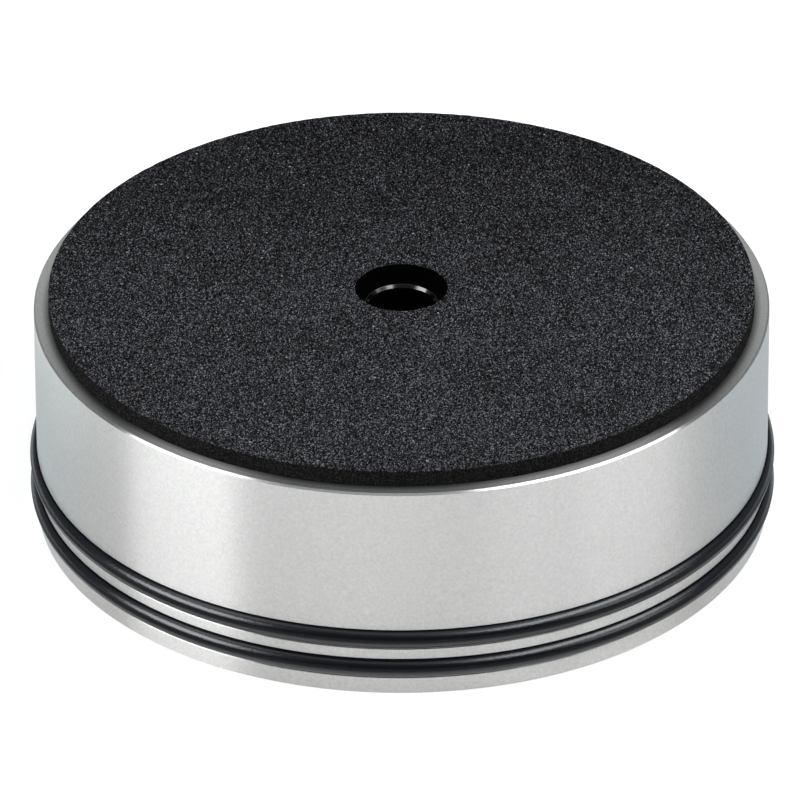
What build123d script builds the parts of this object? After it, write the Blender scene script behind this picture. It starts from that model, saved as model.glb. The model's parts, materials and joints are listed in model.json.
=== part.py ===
from build123d import *
import os

# Record weight: a turned metal disc with two rubber rings round its wall and a sponge pad on its record side.
# It lies on its plain head with the record side up. Z is the turning axis, and the head's face is at Z = 0.
# In use it is turned over: the pad lies on the record's label and the turntable's spindle goes into the bush.

# Driving dimensions, in millimetres

# Turned body
BODY_DIAMETER = 80.0
BODY_HEIGHT = 25.0
EDGE_CHAMFER = 0.2  # broken edge at both rims
HEAD_THICKNESS = 7.0  # metal left between the bush seat and the head's face

# Rubber rings and their grooves
RING_CORD = 2.3  # diameter of the round rubber section
RING_PROUD = 0.75  # how far a ring stands out of the wall
RING_SIDE_CLEARANCE = 0.03  # between a ring and each side of its groove
RING_SEAT_CLEARANCE = 0.02  # between a ring and the floor of its groove
GROOVE_CORNER_RADIUS = 0.2  # left by the nose of the grooving tool
GROOVE_LIP_CHAMFER = 0.05  # broken edge at both lips of a groove
HEAD_LIP = 2.0  # wall between the head's face and the lower groove
RING_LAND = 1.25  # wall between the two grooves

# Spindle bush
BORE_DIAMETER = 7.25  # the size of a record's own centre hole
BUSH_WALL = 2.4
BUSH_FIT_CLEARANCE = 0.02  # glue line all round the bush
BUSH_LEAD_CHAMFER = 0.3  # at the end that goes in first
MOUTH_DEPTH = 0.34  # conical mouth that guides the spindle
MOUTH_WIDTH = 0.25  # how much wider than the bore the mouth is, on each side

# Sponge pad
PAD_THICKNESS = 1.9
PAD_RIM = 1.6  # bare metal around the pad
PAD_HOLE_MARGIN = 1.4  # how far the pad stays back from the bore
PAD_EDGE_RADIUS = 0.05  # soft edge left by the die that cut the pad

# Sizes that follow from them

body_radius = BODY_DIAMETER / 2
bore_radius = BORE_DIAMETER / 2
bush_radius = bore_radius + BUSH_WALL
seat_radius = bush_radius + BUSH_FIT_CLEARANCE
cord_radius = RING_CORD / 2
ring_centre_radius = body_radius + RING_PROUD - cord_radius
groove_floor_radius = ring_centre_radius - cord_radius - RING_SEAT_CLEARANCE
groove_width = RING_CORD + 2 * RING_SIDE_CLEARANCE
lower_ring_height = HEAD_LIP + groove_width / 2
upper_ring_height = lower_ring_height + groove_width + RING_LAND
pad_radius = body_radius - PAD_RIM
pad_hole_radius = bore_radius + PAD_HOLE_MARGIN
pad_top = BODY_HEIGHT + PAD_THICKNESS


def turned(outline):
    """Solid turned about Z from a closed outline of (radius, height) points."""
    corners = [Vector(radius, 0, height) for radius, height in outline]
    return revolve(make_face(Polyline(*corners, close=True)), Axis.Z)


def circles_at(solid, radius, height):
    """The solid's round edges of that radius at that height."""
    wanted = Vector(radius, 0, height)
    return [
        edge
        for edge in solid.edges().filter_by(GeomType.CIRCLE)
        if Vector(edge.radius, 0, edge.arc_center.Z) == wanted
    ]


def groove_outline(height):
    """Outline of one groove from its lower lip to its upper lip, as (radius, height) points."""
    bottom = height - groove_width / 2
    top = height + groove_width / 2
    lip_radius = body_radius - GROOVE_LIP_CHAMFER
    return [
        (body_radius, bottom - GROOVE_LIP_CHAMFER),
        (lip_radius, bottom),
        (groove_floor_radius, bottom),
        (groove_floor_radius, top),
        (lip_radius, top),
        (body_radius, top + GROOVE_LIP_CHAMFER),
    ]


def make_body():
    """Turned body: head face, grooved wall, record side and the flat-bottomed seat of the bush."""
    body = turned(
        [
            (0, 0),
            (body_radius - EDGE_CHAMFER, 0),
            (body_radius, EDGE_CHAMFER),
            *groove_outline(lower_ring_height),
            *groove_outline(upper_ring_height),
            (body_radius, BODY_HEIGHT - EDGE_CHAMFER),
            (body_radius - EDGE_CHAMFER, BODY_HEIGHT),
            (seat_radius, BODY_HEIGHT),
            (seat_radius, HEAD_THICKNESS),
            (0, HEAD_THICKNESS),
        ]
    )
    groove_corners = [
        edge
        for ring_height in (lower_ring_height, upper_ring_height)
        for wall_height in (ring_height - groove_width / 2, ring_height + groove_width / 2)
        for edge in circles_at(body, groove_floor_radius, wall_height)
    ]
    return fillet(groove_corners, GROOVE_CORNER_RADIUS)


def make_ring(height):
    """Rubber O-ring that sits in the groove at that height."""
    return Pos(0, 0, height) * Torus(ring_centre_radius, cord_radius)


def make_bush():
    """Plastic sleeve, flush with the record side, with a chamfered lower end and a conical mouth."""
    return turned(
        [
            (bore_radius, HEAD_THICKNESS),
            (bush_radius - BUSH_LEAD_CHAMFER, HEAD_THICKNESS),
            (bush_radius, HEAD_THICKNESS + BUSH_LEAD_CHAMFER),
            (bush_radius, BODY_HEIGHT),
            (bore_radius + MOUTH_WIDTH, BODY_HEIGHT),
            (bore_radius, BODY_HEIGHT - MOUTH_DEPTH),
        ]
    )


def make_pad():
    """Sponge disc with a hole, stuck on the record side, with soft edges on its free face."""
    pad = turned(
        [
            (pad_hole_radius, BODY_HEIGHT),
            (pad_radius, BODY_HEIGHT),
            (pad_radius, pad_top),
            (pad_hole_radius, pad_top),
        ]
    )
    free_edges = circles_at(pad, pad_radius, pad_top) + circles_at(pad, pad_hole_radius, pad_top)
    return fillet(free_edges, PAD_EDGE_RADIUS)


pieces = {
    "body": make_body(),
    "lower_ring": make_ring(lower_ring_height),
    "upper_ring": make_ring(upper_ring_height),
    "spindle_bush": make_bush(),
    "pad": make_pad(),
}

os.makedirs("parts", exist_ok=True)
for name, piece in pieces.items():
    export_step(piece, f"parts/{name}.step")
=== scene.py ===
import json
import math

import bpy
import numpy as np
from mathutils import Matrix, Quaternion, Vector


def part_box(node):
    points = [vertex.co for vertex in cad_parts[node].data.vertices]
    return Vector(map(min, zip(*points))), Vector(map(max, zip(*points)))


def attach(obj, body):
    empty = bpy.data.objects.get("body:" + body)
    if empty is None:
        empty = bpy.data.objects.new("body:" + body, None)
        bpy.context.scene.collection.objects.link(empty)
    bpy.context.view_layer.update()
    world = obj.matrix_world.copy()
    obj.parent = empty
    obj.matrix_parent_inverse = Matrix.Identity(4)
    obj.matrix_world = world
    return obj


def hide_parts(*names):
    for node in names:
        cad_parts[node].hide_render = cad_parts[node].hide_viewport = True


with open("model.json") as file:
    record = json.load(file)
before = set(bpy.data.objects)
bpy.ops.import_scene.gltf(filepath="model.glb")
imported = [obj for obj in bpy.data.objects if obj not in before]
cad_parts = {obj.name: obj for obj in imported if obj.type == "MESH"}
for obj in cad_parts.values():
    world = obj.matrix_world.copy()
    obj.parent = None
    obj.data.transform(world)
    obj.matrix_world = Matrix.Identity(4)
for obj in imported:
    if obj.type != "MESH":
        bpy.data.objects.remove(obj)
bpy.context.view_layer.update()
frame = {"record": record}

# Everything is in metres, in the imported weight's frame. Z is its turning axis, and its head lies at Z = 0.
# Only the materials count in millimetres, because their detail is that fine.

MM = 0.001

# Sizes that come with the frame

body_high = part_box("body")[1]
pad_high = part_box("pad")[1]
bush_low, bush_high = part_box("spindle_bush")
bore = next(mount for mount in frame["record"]["mounts"] if mount["name"] == "spindle_bore")

BODY_RADIUS = body_high.x
BODY_TOP = body_high.z
PAD_RADIUS = pad_high.x
PAD_TOP = pad_high.z
BUSH_RADIUS = bush_high.x
SEAT_FLOOR = bush_low.z
BORE_RADIUS = bore["dims"]["r_mm"] * MM

# Fine sizes of the pieces

RIM_CHAMFER = 0.2 * MM
LIP_CHAMFER = 0.05 * MM  # at both lips of a groove
GROOVE_SIDE_CLEARANCE = 0.03 * MM
GROOVE_SEAT_CLEARANCE = 0.02 * MM
SEAT_CLEARANCE = 0.02 * MM  # all round the bush
EDGE_SOFTNESS = 0.03 * MM  # how round a turned edge is after deburring
BUSH_LEAD_CHAMFER = 0.3 * MM
MOUTH_DEPTH = 0.34 * MM
MOUTH_WIDTH = 0.25 * MM
MOUTH_SOFTNESS = 0.06 * MM
PAD_HOLE_MARGIN = 1.4 * MM
PAD_EDGE_RADIUS = 0.05 * MM
PAD_RELIEF = 0.02 * MM  # unevenness of the sponge's face
PAD_RELIEF_LENGTH = 1.4 * MM
PAD_RELIEF_SEED = 4
PAD_EDGE_WANDER = 0.02 * MM  # unevenness of its cut edges
PAD_EDGE_LENGTH = 2.2 * MM
PAD_EDGE_SEED = 9
PAD_EDGE_REACH = 0.6 * MM  # how far in from the edges their wandering is felt

# How finely the pieces are divided

SEGMENTS_ROUND = 720
RING_SEGMENTS = 48
ARC_STEPS = 6
PAD_FACE_ROWS = 96

# Finish of the turned metal, with painted shade beside the pad

METAL_DARK = (0.747, 0.752, 0.743, 1)
METAL_LIGHT = (0.947, 0.953, 0.942, 1)
METAL_ROUGHNESS = 0.277
GRAIN_CONTRAST = 1.6
PAINTED_CORNER_SHADE = (0.03, 0.03, 0.032, 1)  # painted shade in the corner beside the pad
PAINTED_CORNER_SHADE_SHARE = 0.62
CORNER_REACH = 0.75  # millimetres from the pad's side
CORNER_DEPTHS = (0.3, 0.25)  # millimetres under the record side, where it ends

# Finish of the rubber rings, with painted light below; heights are over the middle of a ring's section, in
# millimetres

RUBBER_BLACK = (0.0018, 0.0022, 0.0045, 1)
PAINTED_UNDERSIDE_LIGHT = (0.052, 0.054, 0.06, 1)  # painted light: the underside made paler where it mirrors the white floor
PAINTED_LIGHT_HEIGHTS = (0.1, -0.45)
GLOSS_TINT = (0.93, 0.97, 1.0, 1)
BELT_START = (-0.2, 0.12)  # dull belt round the outside
BELT_END = (0.5, 0.3)
BELT_DULLNESS = 0.65
COLLAR_HEIGHTS = (0.95, 1.05)  # dull edge beside the groove's upper lip
COLLAR_DULLNESS = 0.85

# Finish of the bush

BUSH_BLACK = (0.001, 0.001, 0.0011, 1)
BUSH_ROUGHNESS = 0.12
BUSH_ROUGHNESS_SPREAD = 0.08

# Finish of the sponge, with painted shade towards the back and in its hole

SPONGE = (0.194, 0.2, 0.222, 1)  # its brightest walls
SPONGE_TONE = 0.132  # brightness of an even wall, as a share of the brightest
SPONGE_STRETCH = (1.0, 0.6, 1.0)  # the cells are longer along Y
GRAIN_DEPTH = 8.4  # how strongly each pattern shows in the logarithm of the tone
CELL_DEPTH = 2.9
CELL_SPREAD = 2.4
PATCH_DEPTH = 0.6
PAINTED_BACK_SHADE_DEPTH = 0.45
PAINTED_BACK_SHADE_SPAN = (-8.0, 32.0)  # Y at which painted shade begins to darken it towards the back, and at which it is darkest
SPECK = (0.42, 0.425, 0.44, 1)  # bits of dust in it
SPECK_RADII = (0.1, 0.05)
SPECK_CHANCES = (0.58, 0.72)
CUT_SPONGE = (0.026, 0.026, 0.026, 1)  # the pad's cut outer side
PAINTED_HOLE_SHADE = (0.0006, 0.0006, 0.0006, 1)  # painted shade on the side of its hole, which is cut like the outer side
CUT_RADII = (8.0, 20.0)  # between the side of the hole and the outer side
CUT_DEPTHS = (0.14, 0.06)  # millimetres under the record face, where the cut sides begin

# Floor: its tones go by distance from FLOOR_CENTRE, where 1 is FLOOR_REACH, and places are in millimetres

FLOOR_HALF = 6.0  # metres
FLOOR_DROP = 0.02 * MM  # how far it lies under the head
FLOOR_CENTRE = (-10, -10)
FLOOR_REACH = 300
# painted shade: the paint is darker near the weight's foot and dark far off
FLOOR_TONES = [
    (0.13, (0.45, 0.45, 0.45)),
    (0.20, (0.53, 0.53, 0.53)),
    (0.30, (0.82, 0.82, 0.81)),
    (0.40, (0.80, 0.81, 0.81)),
    (0.55, (0.62, 0.63, 0.64)),
    (0.75, (0.25, 0.26, 0.27)),
]
WHITE = (1, 1, 1, 1)
WARM_WHITE = (1, 0.99, 0.96, 1)  # glow of the floor ahead of the weight
COOL_WHITE = (0.8, 1, 1.08, 1)  # and behind it
REAR_SPAN = (-22.0, 5.0)  # Y between ahead and behind
PAINTED_REAR_LIGHT = (1.05, 1.07, 1.07, 1)  # painted light on the floor behind the weight to the left, seen only in the metal
# painted shade on the floor behind the weight to the right, seen only in the metal
PAINTED_REAR_SHADE = (0.86, 0.885, 0.92, 1)
RIGHT_SPAN = (-20.0, 60.0)  # X between left and right
SIDE_SPAN = (-80.0, 80.0)  # X over which painted shade darkens the floor's paint towards the right
SIDE_TONE = 1.08
SIDE_FALL = 0.2
LAMP_SHARE = 0.7  # how much of a white floor's brightness comes from the lamps

# Glow of the floor in the metal, near the weight

NEAR_SPAN = (0.45, 0.28)  # distances as in FLOOR_TONES
BASE_GLOW = 0.06
FOOT_GLOW = 0.155  # beside the foot
FOOT_GLOW_SLOPE = 0.001  # for each millimetre along X
FOOT_RADII = (56.0, 42.0)
FLANK_GLOW = 0.1  # more of it to the left and right
FLANK_START = 33.91
FLANK_END = 40.0
BEHIND_GLOW = 0.07
BEHIND_SPAN = (-5.0, 15.0)
AHEAD_GLOW = 0.21  # a patch ahead of the weight
AHEAD_SPAN = (-38.0, -56.0)
AHEAD_X = -12
AHEAD_WIDTH = 40

# Lamps: azimuth and elevation in degrees, then distance, width and height in metres, and brightness

SOFTBOXES = {
    "left_softbox": (-68, 25, 0.7, 0.44, 0.32, 7.4),
    "left_fill": (-84, 56, 0.7, 0.28, 0.25, 1.6),
    "right_softbox": (66, 50, 0.7, 0.66, 0.28, 5.5),
    "right_fill": (71, 22, 0.7, 0.42, 0.24, 2.0),
    "rear_panel": (180, 32, 0.9, 0.9, 0.4, 0.2),
}

# Surroundings: tones by the sine of the elevation, and a grey room behind the weight

SKY_TONES = [
    (0.0, (0.05, 0.052, 0.054)),
    (0.5, (0.08, 0.083, 0.085)),
    (0.72, (0.12, 0.122, 0.125)),
    (0.85, (0.40, 0.405, 0.41)),
    (1.0, (0.7, 0.71, 0.72)),
]
REAR_GREY = (0.195, 0.2, 0.203, 1)
REAR_DIRECTIONS = (-0.1, 0.6)  # Y of a direction where it begins, and where it is all grey

# Camera, found from the photograph's edges

CAMERA_DISTANCE = 1279.3 * MM
CAMERA_ELEVATION = math.radians(31.082)
CAMERA_AIM_HEIGHT = 12.308 * MM
CAMERA_LENS = 524.0  # millimetres, on a 36 mm sensor
CAMERA_ROLL = math.radians(-0.27)
CAMERA_CLIP_END = 100  # metres


def rounded_profile(corners, radii, steps=ARC_STEPS):
    """Profile of (radius, height) points with rounded corners, and the normals on its right-hand side.

    Each inner corner becomes an arc that touches both of its sides. The arc's direction turns evenly from one
    side's direction to the other's. The normal is that direction turned to the right, and the point is the
    arc's centre plus or minus the radius times the normal.
    """
    corners = np.asarray(corners, float)
    sides = np.diff(corners, axis=0)
    angles = np.unwrap(np.arctan2(sides[:, 1], sides[:, 0]))
    turns = np.diff(angles)
    inner = corners[1:-1]
    radii = np.broadcast_to(radii, turns.shape)
    share = np.linspace(0, 1, steps + 1)
    directions = angles[:-1, None] + turns[:, None] * share
    normals = np.stack([np.sin(directions), -np.cos(directions)], axis=-1)
    reach = radii * np.tan(np.abs(turns) / 2)
    starts = inner - reach[:, None] * np.stack([np.cos(angles[:-1]), np.sin(angles[:-1])], axis=-1)
    signed = (radii * np.sign(turns))[:, None]
    centres = starts - signed * normals[:, 0]
    arcs = centres[:, None] + signed[:, None] * normals
    ends = np.stack([np.sin(angles[[0, -1]]), -np.cos(angles[[0, -1]])], axis=-1)
    points = np.concatenate([corners[:1], arcs.reshape(-1, 2), corners[-1:]])
    return points, np.concatenate([ends[:1], normals.reshape(-1, 2), ends[1:]])


def new_piece(name, points, faces, normals):
    """Smooth mesh object of those points and faces, shaded with those normals."""
    mesh = bpy.data.meshes.new(name)
    mesh.from_pydata(points.tolist(), [], faces)
    mesh.shade_smooth()
    mesh.normals_split_custom_set_from_vertices(normals.tolist())
    piece = bpy.data.objects.new(name, mesh)
    bpy.context.scene.collection.objects.link(piece)
    return piece


def turned_piece(name, profile, normals, closed=False, segments=SEGMENTS_ROUND):
    """Piece turned about Z: a profile point (r, z) goes round as (r cos t, r sin t, z).

    A point on the axis stays one point, with a fan of triangles round it. A closed profile joins up with its
    start.
    """
    radius, height = np.asarray(profile, float).T
    counts = np.where(radius > 0, segments, 1)
    starts = np.cumsum(counts) - counts
    row = np.repeat(np.arange(len(radius)), counts)
    turn = 2 * np.pi * (np.arange(counts.sum()) - starts[row]) / segments
    points = np.stack([radius[row] * np.cos(turn), radius[row] * np.sin(turn), height[row]], axis=-1)
    outward = np.asarray(normals)[row]
    aims = np.stack([outward[:, 0] * np.cos(turn), outward[:, 0] * np.sin(turn), outward[:, 1]], axis=-1)

    index = starts[:, None] + np.arange(segments) * (counts > 1)[:, None]
    if closed:
        index = np.concatenate([index, index[:1]])
    after = np.roll(index, -1, axis=1)
    quads = np.stack([index[:-1], after[:-1], after[1:], index[1:]], axis=-1).reshape(-1, 4)
    from_axis = quads[:, 0] == quads[:, 1]
    to_axis = quads[:, 2] == quads[:, 3]
    faces = quads[~(from_axis | to_axis)].tolist()
    faces += quads[from_axis][:, [0, 2, 3]].tolist()
    faces += quads[to_axis][:, [0, 1, 2]].tolist()
    return new_piece(name, points, faces, aims)


def groove_corners(ring):
    """Corners of the groove that holds that ring, from its lower lip to its upper lip."""
    ring_low, ring_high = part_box(ring)
    bottom = ring_low.z - GROOVE_SIDE_CLEARANCE
    top = ring_high.z + GROOVE_SIDE_CLEARANCE
    cord = ring_high.z - ring_low.z
    floor = ring_high.x - cord - GROOVE_SEAT_CLEARANCE
    lip = BODY_RADIUS - LIP_CHAMFER
    return [
        (BODY_RADIUS, bottom - LIP_CHAMFER),
        (lip, bottom),
        (floor, bottom),
        (floor, top),
        (lip, top),
        (BODY_RADIUS, top + LIP_CHAMFER),
    ]


def make_body():
    """The turned metal body: head, grooved wall, record side and the seat of the bush.

    Its section, with every edge a little rounded, is carried round Z.
    """
    seat = BUSH_RADIUS + SEAT_CLEARANCE
    corners = [
        (0, 0),
        (BODY_RADIUS - RIM_CHAMFER, 0),
        (BODY_RADIUS, RIM_CHAMFER),
        *groove_corners("lower_ring"),
        *groove_corners("upper_ring"),
        (BODY_RADIUS, BODY_TOP - RIM_CHAMFER),
        (BODY_RADIUS - RIM_CHAMFER, BODY_TOP),
        (seat, BODY_TOP),
        (seat, SEAT_FLOOR),
        (0, SEAT_FLOOR),
    ]
    return turned_piece("turned_body", *rounded_profile(corners, EDGE_SOFTNESS))


def make_ring(node):
    """A rubber O-ring: a circle carried round Z, with its centre at the ring's own radius and height."""
    low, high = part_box(node)
    cord_radius = (high.z - low.z) / 2
    around = np.linspace(0, 2 * np.pi, RING_SEGMENTS, endpoint=False)
    normals = np.stack([np.cos(around), np.sin(around)], axis=-1)
    centre = np.array([high.x - cord_radius, (high.z + low.z) / 2])
    return turned_piece(f"rubber_{node}", centre + cord_radius * normals, normals, closed=True)


def make_bush():
    """The black sleeve that takes the spindle, with a chamfered foot and a conical mouth.

    Its section starts and ends on the straight wall of the bore, and is carried round Z.
    """
    start = (BORE_RADIUS, SEAT_FLOOR + MOUTH_DEPTH)
    corners = [
        start,
        (BORE_RADIUS, SEAT_FLOOR),
        (BUSH_RADIUS - BUSH_LEAD_CHAMFER, SEAT_FLOOR),
        (BUSH_RADIUS, SEAT_FLOOR + BUSH_LEAD_CHAMFER),
        (BUSH_RADIUS, BODY_TOP),
        (BORE_RADIUS + MOUTH_WIDTH, BODY_TOP),
        (BORE_RADIUS, BODY_TOP - MOUTH_DEPTH),
        start,
    ]
    radii = [EDGE_SOFTNESS] * 4 + [MOUTH_SOFTNESS] * 2
    profile, normals = rounded_profile(corners, radii)
    return turned_piece("bush_sleeve", profile[:-1], normals[:-1], closed=True)


def waves(x, y, seed, length, count=24):
    """Smooth random height between about -1 and 1 at each point.

    It is the sum of plane waves with seeded directions and phases, and with lengths within a third of the one
    given.
    """
    draw = np.random.default_rng(seed)
    turn, phase = draw.uniform(0, 2 * np.pi, (2, count))
    number = 2 * np.pi / (length * draw.uniform(0.67, 1.33, count))
    along = np.multiply.outer(x, number * np.cos(turn)) + np.multiply.outer(y, number * np.sin(turn))
    return np.sin(along + phase).sum(axis=-1) / math.sqrt(2 * count)


def uneven(points, hole):
    """The pad's points, with its face and its cut edges made uneven.

    The face is pressed down by seeded waves, by up to twice PAD_RELIEF, and less so down to half the pad's
    thickness. The edges of the disc and its hole are drawn in by other waves, by up to twice PAD_EDGE_WANDER,
    and less so up to PAD_EDGE_REACH away.
    """
    x, y, z = points.T
    upper = np.clip(2 * (z - BODY_TOP) / (PAD_TOP - BODY_TOP) - 1, 0, 1)
    press = PAD_RELIEF * upper * (1 + np.clip(waves(x, y, PAD_RELIEF_SEED, PAD_RELIEF_LENGTH), -1, 1))
    wander = PAD_EDGE_WANDER * (1 + np.clip(waves(x, y, PAD_EDGE_SEED, PAD_EDGE_LENGTH), -1, 1))
    radius = np.hypot(x, y)
    inset = np.minimum(PAD_RADIUS - radius, radius - hole)
    rim = np.sign(2 * radius - PAD_RADIUS - hole) * np.clip(1 - inset / PAD_EDGE_REACH, 0, 1)
    shrink = 1 - rim * wander / radius
    return np.stack([x * shrink, y * shrink, z - press], axis=-1)


def make_pad():
    """The sponge pad: a disc with a hole and soft die-cut edges, stuck on the record side.

    Its section is carried round Z, with many rows on the record face, and is then made uneven.
    """
    hole = BORE_RADIUS + PAD_HOLE_MARGIN
    middle = (hole + PAD_RADIUS) / 2
    corners = [
        (middle, BODY_TOP),
        (PAD_RADIUS, BODY_TOP),
        (PAD_RADIUS, PAD_TOP),
        (hole, PAD_TOP),
        (hole, BODY_TOP),
        (middle, BODY_TOP),
    ]
    radii = [EDGE_SOFTNESS, PAD_EDGE_RADIUS, PAD_EDGE_RADIUS, EDGE_SOFTNESS]
    profile, normals = rounded_profile(corners, radii)
    face = np.linspace(PAD_RADIUS - 2 * PAD_EDGE_RADIUS, hole + 2 * PAD_EDGE_RADIUS, PAD_FACE_ROWS)
    face_points = np.stack([face, np.full_like(face, PAD_TOP)], axis=-1)
    face_normals = np.broadcast_to((0.0, 1.0), face_points.shape)
    before = 1 + 2 * (ARC_STEPS + 1)  # the first point and two arcs come before the face
    profile = np.concatenate([profile[:before], face_points, profile[before:-1]])
    normals = np.concatenate([normals[:before], face_normals, normals[before:-1]])
    piece = turned_piece("sponge_pad", profile, normals, closed=True)

    mesh = piece.data
    points = np.empty(len(mesh.vertices) * 3)
    mesh.vertices.foreach_get("co", points)
    mesh.vertices.foreach_set("co", uneven(points.reshape(-1, 3), hole).ravel())
    mesh.update()
    return piece


class Value:
    """One socket's value. Python's operators on it add Math nodes."""

    def __init__(self, nodes, socket):
        self.nodes = nodes
        self.socket = socket

    def output(self, name):
        """Another output of the same node."""
        return Value(self.nodes, self.socket.node.outputs[name])

    def __add__(self, other):
        return self.nodes.math("ADD", self, other)

    def __radd__(self, other):
        return self.nodes.math("ADD", other, self)

    def __sub__(self, other):
        return self.nodes.math("SUBTRACT", self, other)

    def __rsub__(self, other):
        return self.nodes.math("SUBTRACT", other, self)

    def __mul__(self, other):
        return self.nodes.math("MULTIPLY", self, other)

    def __rmul__(self, other):
        return self.nodes.math("MULTIPLY", other, self)

    def __truediv__(self, other):
        return self.nodes.math("DIVIDE", self, other)

    def __rtruediv__(self, other):
        return self.nodes.math("DIVIDE", other, self)

    def __pow__(self, other):
        return self.nodes.math("POWER", self, other)

    def __rpow__(self, other):
        return self.nodes.math("POWER", other, self)


class Nodes:
    """A node tree, with one method that adds any node and a few that use it."""

    def __init__(self, tree):
        self.tree = tree
        tree.nodes.clear()

    def add(self, kind, settings=None, sockets=None, output=0):
        """Adds a node, with its settings first and then the values or links of its sockets.

        It gives one of the node's outputs, or nothing for a node that has none.
        """
        node = self.tree.nodes.new(kind)
        for key, value in (settings or {}).items():
            if key == "stops":
                self.set_stops(node.color_ramp.elements, value)
            else:
                setattr(node, key, value)
        for key, value in (sockets or {}).items():
            if isinstance(value, Value):
                self.tree.links.new(value.socket, node.inputs[key])
            else:
                node.inputs[key].default_value = value
        return Value(self, node.outputs[output]) if len(node.outputs) else None

    @staticmethod
    def set_stops(elements, stops):
        """Sets a new ramp's stops, given as (position, colour) in rising order. It starts with two."""
        for place, (position, colour) in enumerate(stops):
            stop = elements[place] if place < 2 else elements.new(position)
            stop.position = position
            stop.color = (*colour, 1)

    def math(self, operation, *operands):
        """Math node on those values and numbers."""
        return self.add("ShaderNodeMath", {"operation": operation}, dict(enumerate(operands)))

    def fade(self, value, start, end, smooth=False):
        """0 where the value is at start or before it, 1 where it is at end or past it."""
        settings = {"interpolation_type": "SMOOTHSTEP" if smooth else "LINEAR"}
        return self.add("ShaderNodeMapRange", settings, {"Value": value, "From Min": start, "From Max": end})

    def mix(self, factor, first, second):
        """Colour between the first and the second."""
        return self.add("ShaderNodeMix", {"data_type": "RGBA"}, {0: factor, 6: first, 7: second}, output=2)

    def scale(self, vector, factor):
        """Vector or colour times a number."""
        return self.add("ShaderNodeVectorMath", {"operation": "SCALE"}, {0: vector, "Scale": factor})

    def multiply(self, first, second):
        """Two vectors or colours multiplied, part by part."""
        return self.add("ShaderNodeVectorMath", {"operation": "MULTIPLY"}, {0: first, 1: second})

    def bump(self, height, strength, distance):
        """Normal of a surface with that relief."""
        sockets = {"Strength": strength, "Distance": distance, "Height": height}
        return self.add("ShaderNodeBump", sockets=sockets)

    def noise(self, where, **sockets):
        """Noise in space."""
        return self.add("ShaderNodeTexNoise", sockets={"Vector": where, **sockets})

    def lines(self, along, **sockets):
        """Noise along one value."""
        return self.add("ShaderNodeTexNoise", {"noise_dimensions": "1D"}, {"W": along, **sockets})

    def coordinates(self):
        """The piece's own coordinates in millimetres: the whole vector, then x, y and z."""
        where = self.scale(self.add("ShaderNodeTexCoord", output="Object"), 1 / MM)
        x = self.add("ShaderNodeSeparateXYZ", sockets={0: where})
        return where, x, x.output("Y"), x.output("Z")


def off_axis(x, y):
    """Distance from the axis."""
    return (x * x + y * y) ** 0.5


def new_material(name):
    """Empty material and its nodes."""
    material = bpy.data.materials.new(name)
    material.use_nodes = True
    return material, Nodes(material.node_tree)


def surface(nodes, **sockets):
    """Principled surface as the material's output; socket names are given with _ for spaces."""
    named = {key.replace("_", " "): value for key, value in sockets.items()}
    shader = nodes.add("ShaderNodeBsdfPrincipled", sockets=named)
    nodes.add("ShaderNodeOutputMaterial", sockets={"Surface": shader})


def turned_metal():
    """Bright metal off the lathe: grooves round the axis smear reflections along the profile.

    A fine grain varies its brightness, and painted shade darkens it in the corner beside the pad.
    """
    material, nodes = new_material("turned_metal_and_painted_shade")
    where, x, y, z = nodes.coordinates()
    radius = off_axis(x, y)
    lines = nodes.lines(z - radius, Scale=9.0, Detail=3.0)
    grain = nodes.noise(where, Scale=3.0, Detail=2.0, Roughness=0.6)
    clean = nodes.mix((grain - 0.5) * GRAIN_CONTRAST + 0.5, METAL_DARK, METAL_LIGHT)
    # painted shade: the base colour darkens towards the corner beside the pad
    beside = nodes.fade(radius, PAD_RADIUS / MM + CORNER_REACH, PAD_RADIUS / MM)
    corner = beside * nodes.fade(BODY_TOP / MM - z, *CORNER_DEPTHS)
    surface(
        nodes,
        Base_Color=nodes.mix(corner * PAINTED_CORNER_SHADE_SHARE, clean, PAINTED_CORNER_SHADE),
        Metallic=1.0,
        Roughness=METAL_ROUGHNESS,
        Anisotropic=1.0,
        Anisotropic_Rotation=0.25,
        Normal=nodes.bump(lines, 0.04, 0.01 * MM),
    )
    return material


def ring_rubber():
    """Black rubber of the O-rings, with painted light below, glossy but for a dull belt and a dull upper
    edge.

    These follow the height over the nearer ring's middle: the height wrapped at the spacing of the rings.
    """
    material, nodes = new_material("ring_rubber_and_painted_light")
    where, x, y, z = nodes.coordinates()
    boxes = [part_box(ring) for ring in ("lower_ring", "upper_ring")]
    lower, upper = [(low.z + high.z) / 2 / MM for low, high in boxes]
    pitch = upper - lower
    height = nodes.math("WRAP", z - lower, pitch / 2, -pitch / 2)
    belt = nodes.fade(height, *BELT_START, smooth=True) * nodes.fade(height, *BELT_END, smooth=True)
    collar = nodes.fade(height, *COLLAR_HEIGHTS, smooth=True)
    # painted light: the base colour is paler on the underside, standing for the floor's reflection
    painted_underside = nodes.fade(height, *PAINTED_LIGHT_HEIGHTS, smooth=True)
    normal = nodes.bump(nodes.noise(where, Scale=5.0, Detail=2.0), 0.6, 0.03 * MM)
    gloss = {
        "Base Color": nodes.mix(painted_underside, RUBBER_BLACK, PAINTED_UNDERSIDE_LIGHT),
        "Roughness": 0.22,
        "IOR": 1.6,
        "Specular Tint": GLOSS_TINT,
        "Normal": normal,
    }
    dull = {"Base Color": RUBBER_BLACK, "Roughness": 0.9, "Specular IOR Level": 0.05, "Normal": normal}
    glossy = nodes.add("ShaderNodeBsdfPrincipled", sockets=gloss)
    matt = nodes.add("ShaderNodeBsdfPrincipled", sockets=dull)
    dullness = belt * BELT_DULLNESS + collar * COLLAR_DULLNESS
    both = nodes.add("ShaderNodeMixShader", sockets={0: dullness, 1: glossy, 2: matt})
    nodes.add("ShaderNodeOutputMaterial", sockets={"Surface": both})
    return material


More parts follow.
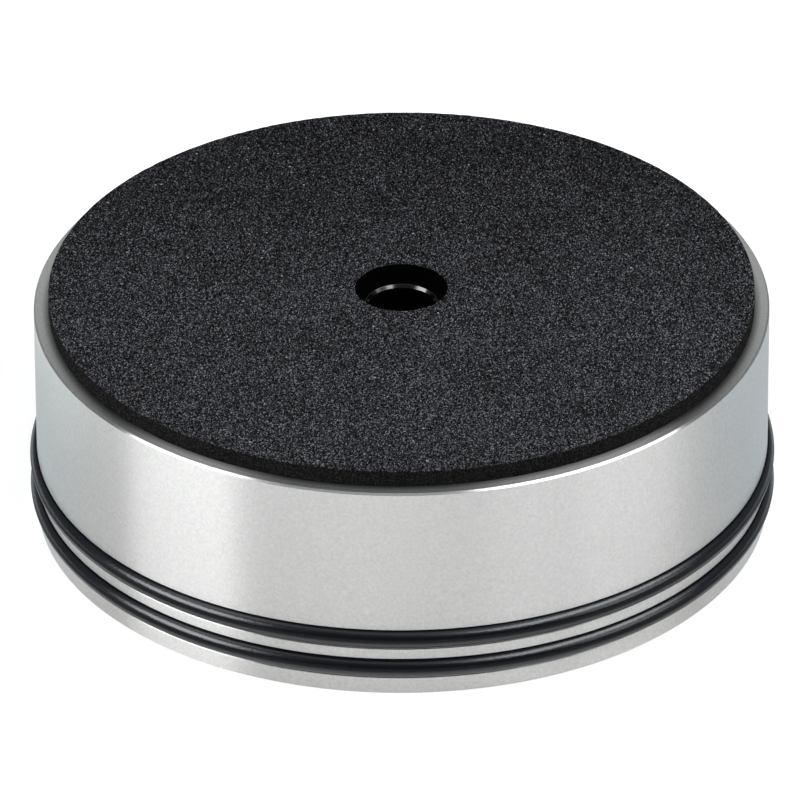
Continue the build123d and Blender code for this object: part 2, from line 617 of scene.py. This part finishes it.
def bush_plastic():
    """Gloss black plastic of the bush, with faint lines round the bore."""
    material, nodes = new_material("bush_plastic_finish")
    where, x, y, z = nodes.coordinates()
    lines = nodes.lines(z - off_axis(x, y), Scale=6.0, Detail=2.0)
    surface(
        nodes,
        Base_Color=BUSH_BLACK,
        Roughness=BUSH_ROUGHNESS + lines * BUSH_ROUGHNESS_SPREAD,
        IOR=1.75,
        Normal=nodes.bump(lines, 0.1, 0.01 * MM),
    )
    return material


def sponge_rubber():
    """Black sponge: fine walls between dark pores, a few bright specks, dark cut sides, and painted shade in
    its hole.

    The logarithm of its tone is the sum of noise, cells, a chance for each cell, wide patches and a painted
    shade towards the back.
    """
    material, nodes = new_material("sponge_rubber_and_painted_shade")
    where, x, y, z = nodes.coordinates()
    stretched = nodes.multiply(where, SPONGE_STRETCH)
    grain = nodes.noise(stretched, Scale=6.2, Detail=1.0, Roughness=0.6) - 0.5
    cells = nodes.add("ShaderNodeTexVoronoi", {"feature": "F1"}, {"Vector": stretched, "Scale": 6.8})
    chance = cells.output("Color") - 0.5
    patches = nodes.noise(where, Scale=0.12, Detail=2.0) - 0.5
    height = grain * GRAIN_DEPTH + (0.45 - cells) * CELL_DEPTH + chance * CELL_SPREAD + patches * PATCH_DEPTH
    # painted shade: the face darkens towards the back, where less light falls
    painted_back_shade = nodes.fade(y, *PAINTED_BACK_SHADE_SPAN, smooth=True)
    tone = SPONGE_TONE * math.e ** (height - painted_back_shade * PAINTED_BACK_SHADE_DEPTH)

    dust = nodes.add("ShaderNodeTexVoronoi", {"feature": "F1"}, {"Vector": where, "Scale": 0.75})
    speck = nodes.fade(dust, *SPECK_RADII) * nodes.fade(dust.output("Color"), *SPECK_CHANCES)
    face = nodes.mix(speck, nodes.mix(tone, (0, 0, 0, 1), SPONGE), SPECK)
    # painted shade: the side of the hole is near black, while the outer side keeps the cut sponge's colour
    outer = nodes.fade(off_axis(x, y), *CUT_RADII)
    sides = nodes.mix(outer * (tone * 2 + 0.15), PAINTED_HOLE_SHADE, CUT_SPONGE)
    top = nodes.fade(PAD_TOP / MM - z, *CUT_DEPTHS, smooth=True)
    surface(
        nodes,
        Base_Color=nodes.mix(top, sides, face),
        Roughness=0.9,
        Specular_IOR_Level=0.02,
        Normal=nodes.bump(height, 0.4, 0.05 * MM),
    )
    return material


def dress(piece, node, material):
    """Gives a piece its finish and puts it in the CAD node's place."""
    piece.data.materials.append(material)
    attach(piece, "root")
    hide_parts(node)
    return piece


def floor_white():
    """White paint that keeps the weight's shadow and shows white to the camera.

    Its tone is painted shade: it follows the distance from FLOOR_CENTRE and falls from left to right. Where
    the metal mirrors it, painted light and shade tint it behind the weight, and it glows: all around, beside
    the foot, behind and in a patch ahead.
    """
    material, nodes = new_material("floor_white")
    where, x, y, z = nodes.coordinates()
    centre_x, centre_y = FLOOR_CENTRE
    away = off_axis(x - centre_x, y - centre_y) / FLOOR_REACH
    # painted shade in the floor's paint, by the distance from FLOOR_CENTRE
    tone = nodes.add("ShaderNodeValToRGB", {"stops": FLOOR_TONES}, {"Fac": away})
    path = nodes.add("ShaderNodeLightPath")
    camera = path.output("Is Camera Ray")
    mirrored = path.output("Is Glossy Ray") + path.output("Is Transmission Ray")
    rear = nodes.fade(y, *REAR_SPAN)

    flank = nodes.fade(x * x, FLANK_START ** 2, FLANK_END ** 2)
    beside = FOOT_GLOW - x * FOOT_GLOW_SLOPE + flank * FLANK_GLOW
    foot = nodes.fade(off_axis(x, y), *FOOT_RADII) * beside
    behind = nodes.fade(y, *BEHIND_SPAN) * BEHIND_GLOW
    offset = (x - AHEAD_X) / AHEAD_WIDTH
    ahead = nodes.fade(y, *AHEAD_SPAN) / math.e ** (offset * offset) * AHEAD_GLOW
    near = nodes.fade(away, *NEAR_SPAN)
    glow = camera * (1 - tone * LAMP_SHARE) + mirrored * near * (BASE_GLOW + foot + behind + ahead)
    tint = nodes.mix(camera, nodes.mix(rear, WARM_WHITE, COOL_WHITE), WHITE)
    light = nodes.add("ShaderNodeEmission", sockets={"Color": nodes.scale(tint, glow), "Strength": 1.0})

    # painted shade: the paint darkens from left to right
    side = SIDE_TONE - nodes.fade(x, *SIDE_SPAN) * SIDE_FALL
    # painted light and shade for mirrored rays: the floor behind is lighter to the left and darker, bluer to
    # the right
    cast = nodes.mix(rear * mirrored, WHITE, nodes.mix(nodes.fade(x, *RIGHT_SPAN), PAINTED_REAR_LIGHT, PAINTED_REAR_SHADE))
    colour = nodes.multiply(nodes.scale(tone, side), cast)
    paint = nodes.add("ShaderNodeBsdfDiffuse", sockets={"Color": colour})
    both = nodes.add("ShaderNodeAddShader", sockets={0: paint, 1: light})
    nodes.add("ShaderNodeOutputMaterial", sockets={"Surface": both})
    return material


def make_floor():
    """A plain square floor just under the head."""
    corners = [
        (-FLOOR_HALF, -FLOOR_HALF, -FLOOR_DROP),
        (FLOOR_HALF, -FLOOR_HALF, -FLOOR_DROP),
        (FLOOR_HALF, FLOOR_HALF, -FLOOR_DROP),
        (-FLOOR_HALF, FLOOR_HALF, -FLOOR_DROP),
    ]
    mesh = bpy.data.meshes.new("floor")
    mesh.from_pydata(corners, [], [(0, 1, 2, 3)])
    mesh.materials.append(floor_white())
    floor = bpy.data.objects.new("floor", mesh)
    bpy.context.scene.collection.objects.link(floor)


def softbox(name, azimuth, elevation, distance, width, height, brightness):
    """Area lamp that faces the weight. Azimuth is counted from the camera's side, positive to the right.

    Brightness is the lamp face's own: 1 is white in a mirror.
    """
    lamp = bpy.data.lights.new(name, "AREA")
    lamp.shape = "RECTANGLE"
    lamp.size = width
    lamp.size_y = height
    lamp.energy = brightness * math.pi * width * height
    box = bpy.data.objects.new(name, lamp)
    turn = math.radians(azimuth)
    lift = math.radians(elevation)
    away = Vector((math.sin(turn) * math.cos(lift), -math.cos(turn) * math.cos(lift), math.sin(lift)))
    box.location = distance * away
    box.rotation_euler = (-away).to_track_quat("-Z", "Y").to_euler()
    box.visible_camera = False
    bpy.context.scene.collection.objects.link(box)


def make_light():
    """Soft studio light: the softboxes, and dim surroundings that brighten upwards."""
    for name, setting in SOFTBOXES.items():
        softbox(name, *setting)
    world = bpy.data.worlds.new("surroundings")
    bpy.context.scene.world = world
    world.use_nodes = True
    nodes = Nodes(world.node_tree)
    direction = nodes.add("ShaderNodeTexCoord", output="Generated")
    x = nodes.add("ShaderNodeSeparateXYZ", sockets={0: direction})
    sky = nodes.add("ShaderNodeValToRGB", {"stops": SKY_TONES}, {"Fac": x.output("Z")})
    rear = nodes.fade(x.output("Y"), *REAR_DIRECTIONS, smooth=True)
    colour = nodes.mix(rear, sky, REAR_GREY)
    grey = nodes.add("ShaderNodeBackground", sockets={"Color": colour, "Strength": 1.0})
    nodes.add("ShaderNodeOutputWorld", sockets={"Surface": grey})


def make_camera():
    """Camera at the photograph's angle, looking along +Y and down at the weight."""
    camera = bpy.data.cameras.new("camera")
    camera.lens = CAMERA_LENS
    camera.clip_end = CAMERA_CLIP_END
    stand = bpy.data.objects.new("camera", camera)
    back = Vector((0, -math.cos(CAMERA_ELEVATION), math.sin(CAMERA_ELEVATION)))
    stand.location = Vector((0, 0, CAMERA_AIM_HEIGHT)) + CAMERA_DISTANCE * back
    level = (-back).to_track_quat("-Z", "Y")
    stand.rotation_euler = (level @ Quaternion((0, 0, 1), CAMERA_ROLL)).to_euler()
    bpy.context.scene.collection.objects.link(stand)
    bpy.context.scene.camera = stand
    bpy.context.scene.view_settings.view_transform = "Standard"


dress(make_body(), "body", turned_metal())
rubber = ring_rubber()
dress(make_ring("lower_ring"), "lower_ring", rubber)
dress(make_ring("upper_ring"), "upper_ring", rubber)
dress(make_bush(), "spindle_bush", bush_plastic())
pad = dress(make_pad(), "pad", sponge_rubber())
make_floor()
make_light()
make_camera()
